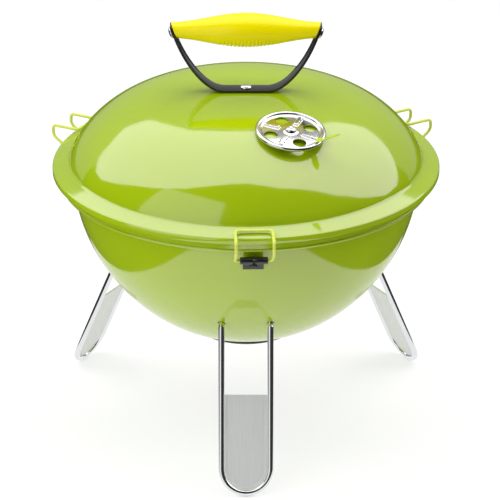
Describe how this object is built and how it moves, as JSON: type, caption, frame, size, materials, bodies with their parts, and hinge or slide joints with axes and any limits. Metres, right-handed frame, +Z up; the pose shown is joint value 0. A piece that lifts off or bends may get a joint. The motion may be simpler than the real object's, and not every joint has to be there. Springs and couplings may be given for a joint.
{
  "type": "kettle charcoal grill",
  "caption": "Portable round kettle charcoal grill on wire legs, with a domed lid held by wire bails, rotary vents above and below, a carry handle and inner grates.",
  "frame": {"origin": "where the bowl's axis meets the ground that the three feet stand on", "axes": "+Z up along the bowl's axis; -Y towards the front, where one leg and one bail stand; +X to the viewer's right"},
  "size_m": [0.3862, 0.4028, 0.4183],
  "materials": {
    "lime_enamel": "glossy lime-green enamel on steel sheet, black enamel inside",
    "yellow_plastic": "satin moulded heat-proof plastic",
    "yellow_wire": "powder-coated spring wire",
    "lime_tab": "glossy painted steel strip",
    "black_steel": "satin black steel",
    "chrome": "bright plated steel",
    "vent_chrome": "pressed and plated steel",
    "grate_chrome": "plated welded wire",
    "grey_plate": "satin pale grey sheet"
  },
  "bodies": {
    "bowl": {"fire_bowl": "lime_enamel", "bottom_vent_screw": "chrome", "bottom_vent_nut": "chrome", "leg_wire_front": "chrome", "leg_plate_front": "grey_plate", "leg_nut_front_a": "chrome", "leg_nut_front_b": "chrome", "leg_wire_right": "chrome", "leg_plate_right": "grey_plate", "leg_nut_right_a": "chrome", "leg_nut_right_b": "chrome", "leg_wire_left": "chrome", "leg_plate_left": "grey_plate", "leg_nut_left_a": "chrome", "leg_nut_left_b": "chrome", "clamp_bracket_front": "black_steel", "clamp_rivet_front": "black_steel", "clamp_bracket_right": "black_steel", "clamp_rivet_right": "black_steel", "clamp_bracket_left": "black_steel", "clamp_rivet_left": "black_steel", "grate_support_front": "black_steel", "grate_support_right": "black_steel", "grate_support_left": "black_steel"},
    "bottom_damper": {"bottom_vent_damper": "black_steel"},
    "bail_front": {"clamp_bail_front": "yellow_wire"},
    "bail_right": {"clamp_bail_right": "yellow_wire"},
    "bail_left": {"clamp_bail_left": "yellow_wire"},
    "charcoal_grate": {"charcoal_grate": "grate_chrome"},
    "cooking_grate": {"cooking_grate": "grate_chrome"},
    "lid": {"lid_shell": "lime_enamel", "lid_vent_washer": "chrome", "lid_vent_rivet": "vent_chrome", "handle_strap": "black_steel", "handle_grip": "yellow_plastic", "handle_bolt": "chrome", "handle_nut": "chrome", "handle_screw_left": "chrome", "handle_screw_right": "chrome"},
    "lid_vent": {"lid_vent_disc": "vent_chrome", "lid_vent_tab": "lime_tab"}
  },
  "joints": [
    {"name": "lid_lift", "type": "slide", "parent": "bowl", "child": "lid", "axis": [0, 0, 1], "range_m": [0, 0.3]},
    {"name": "lid_vent_turn", "type": "hinge", "parent": "lid", "child": "lid_vent", "pos_m": [0.042, -0.092, 0.3314], "axis": [0.0828, -0.1814, 0.9799], "range_deg": [0, 45]},
    {"name": "bottom_vent_turn", "type": "hinge", "parent": "bowl", "child": "bottom_damper", "pos_m": [0, 0, 0.085], "axis": [0, 0, 1], "range_deg": [0, 45]},
    {"name": "bail_front_swing", "type": "hinge", "parent": "bowl", "child": "bail_front", "pos_m": [0.00738, -0.18385, 0.2415], "axis": [0.9992, 0.0401, 0], "range_deg": [0, 115]},
    {"name": "bail_right_swing", "type": "hinge", "parent": "bowl", "child": "bail_right", "pos_m": [0.15553, 0.09832, 0.2415], "axis": [-0.5344, 0.8453, 0], "range_deg": [0, 115]},
    {"name": "bail_left_swing", "type": "hinge", "parent": "bowl", "child": "bail_left", "pos_m": [-0.16291, 0.08553, 0.2415], "axis": [-0.4648, -0.8854, 0], "range_deg": [0, 115]},
    {"name": "charcoal_grate_lift", "type": "slide", "parent": "bowl", "child": "charcoal_grate", "axis": [0, 0, 1], "range_m": [0, 0.09]},
    {"name": "cooking_grate_lift", "type": "slide", "parent": "bowl", "child": "cooking_grate", "axis": [0, 0, 1], "range_m": [0, 0.025]}
  ]
}
